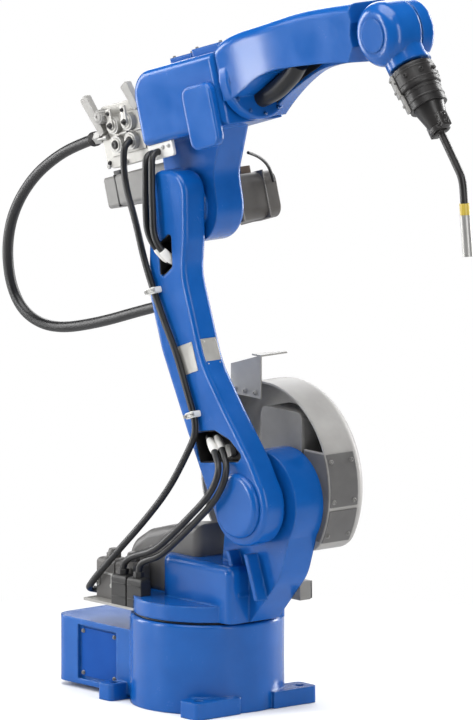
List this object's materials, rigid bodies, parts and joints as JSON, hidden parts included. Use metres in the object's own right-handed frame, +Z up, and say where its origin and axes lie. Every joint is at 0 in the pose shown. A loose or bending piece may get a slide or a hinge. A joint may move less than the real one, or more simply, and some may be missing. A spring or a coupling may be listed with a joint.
{
  "type": "industrial robot arm",
  "caption": "Floor-mounted six-axis arc welding arm with bowed lower arm, scooped forearm, wire feeder at the elbow and a bent torch on a hollow wrist.",
  "frame": {"origin": "on the first axis, on the floor face of the base", "axes": "+X the way the arm reaches, +Y to the far side, away from the lower arm, +Z up"},
  "size_m": [1.3357, 0.299, 1.4155],
  "materials": {
    "blue_paint": "semi-gloss blue paint on castings",
    "grey_cover": "satin grey moulded cover",
    "motor_grey": "satin grey paint",
    "motor_brown": "satin brown-grey paint",
    "dark_cover": "satin dark grey moulded cover",
    "sheet_grey": "satin grey sheet",
    "dark_metal": "satin black paint",
    "connector_grey": "matt grey",
    "black_plastic": "matt black",
    "black_rubber": "semi-gloss black cable sheath",
    "white_plastic": "matt white",
    "brown_plastic": "matt dark brown",
    "feeder_silver": "machined plate",
    "bright_steel": "turned steel",
    "lever_grey": "satin light grey",
    "yellow_plastic": "gloss yellow ring"
  },
  "bodies": {
    "base": {"base_casting": "blue_paint", "base_side_panels": "blue_paint", "base_connector_panel": "dark_metal"},
    "waist": {"waist_casting": "blue_paint", "j2_motor_hood": "grey_cover", "j2_motor": "motor_grey", "hood_bracket": "sheet_grey", "j1_motor_cover": "dark_cover", "stop_block": "motor_grey", "cable_tray": "sheet_grey", "connector_housings": "connector_grey", "cable_plugs": "black_plastic"},
    "lower_arm": {"lower_arm_casting": "blue_paint", "j2_cap": "blue_paint", "cable_clips": "white_plastic", "window_clamps": "white_plastic", "hose_fitting": "black_plastic", "arm_cable_middle": "black_rubber", "arm_cable_lower": "black_rubber", "window_cable_rear": "black_rubber", "window_cable_front": "black_rubber"},
    "elbow": {"elbow_casting": "blue_paint", "elbow_pad": "blue_paint", "elbow_top_caps": "blue_paint", "hose_hanger": "white_plastic", "j3_motor": "motor_brown", "j3_motor_connector": "brown_plastic", "j3_motor_lead": "black_rubber", "j4_motor": "motor_grey", "feeder_plate": "feeder_silver", "feeder_motor": "dark_metal", "feeder_rolls": "bright_steel", "feeder_levers": "lever_grey", "feeder_knob": "lever_grey", "feeder_inlet": "bright_steel", "feed_hose": "black_rubber", "arm_cable_upper": "black_rubber", "elbow_hose_rear": "black_rubber", "elbow_hose_front": "black_rubber"},
    "forearm": {"forearm_shell": "blue_paint", "forearm_conduit": "black_rubber"},
    "wrist": {"wrist_casting": "blue_paint", "wrist_cap": "blue_paint"},
    "torch": {"torch_mount": "dark_metal", "torch_body": "dark_metal", "torch_neck": "dark_metal", "torch_insulator": "yellow_plastic", "torch_nozzle": "bright_steel"}
  },
  "joints": [
    {"name": "j1_waist_turn", "type": "hinge", "parent": "base", "child": "waist", "pos_m": [0, 0, 0.171], "axis": [0, 0, 1], "range_deg": [-170, 170]},
    {"name": "j2_lower_arm", "type": "hinge", "parent": "waist", "child": "lower_arm", "pos_m": [0.19, 0, 0.412], "axis": [0, 1, 0], "range_deg": [-50, 140], "deforming": ["arm_cable_lower", "window_cable_rear", "window_cable_front"]},
    {"name": "j3_elbow", "type": "hinge", "parent": "lower_arm", "child": "elbow", "pos_m": [-0.01122, 0, 0.95598], "axis": [0, -1, 0], "range_deg": [-65, 75], "deforming": ["feed_hose", "arm_cable_upper", "elbow_hose_rear", "elbow_hose_front"]},
    {"name": "j4_forearm_turn", "type": "hinge", "parent": "elbow", "child": "forearm", "pos_m": [0.12069, 0, 1.20858], "axis": [0.9563, 0, 0.2924], "range_deg": [-150, 150]},
    {"name": "j5_wrist_bend", "type": "hinge", "parent": "forearm", "child": "wrist", "pos_m": [0.54693, 0, 1.35353], "axis": [0, -1, 0], "range_deg": [-56, 164]},
    {"name": "j6_torch_turn", "type": "hinge", "parent": "wrist", "child": "torch", "pos_m": [0.59249, 0, 1.29522], "axis": [0.6157, 0, -0.788], "range_deg": [-200, 200]}
  ]
}
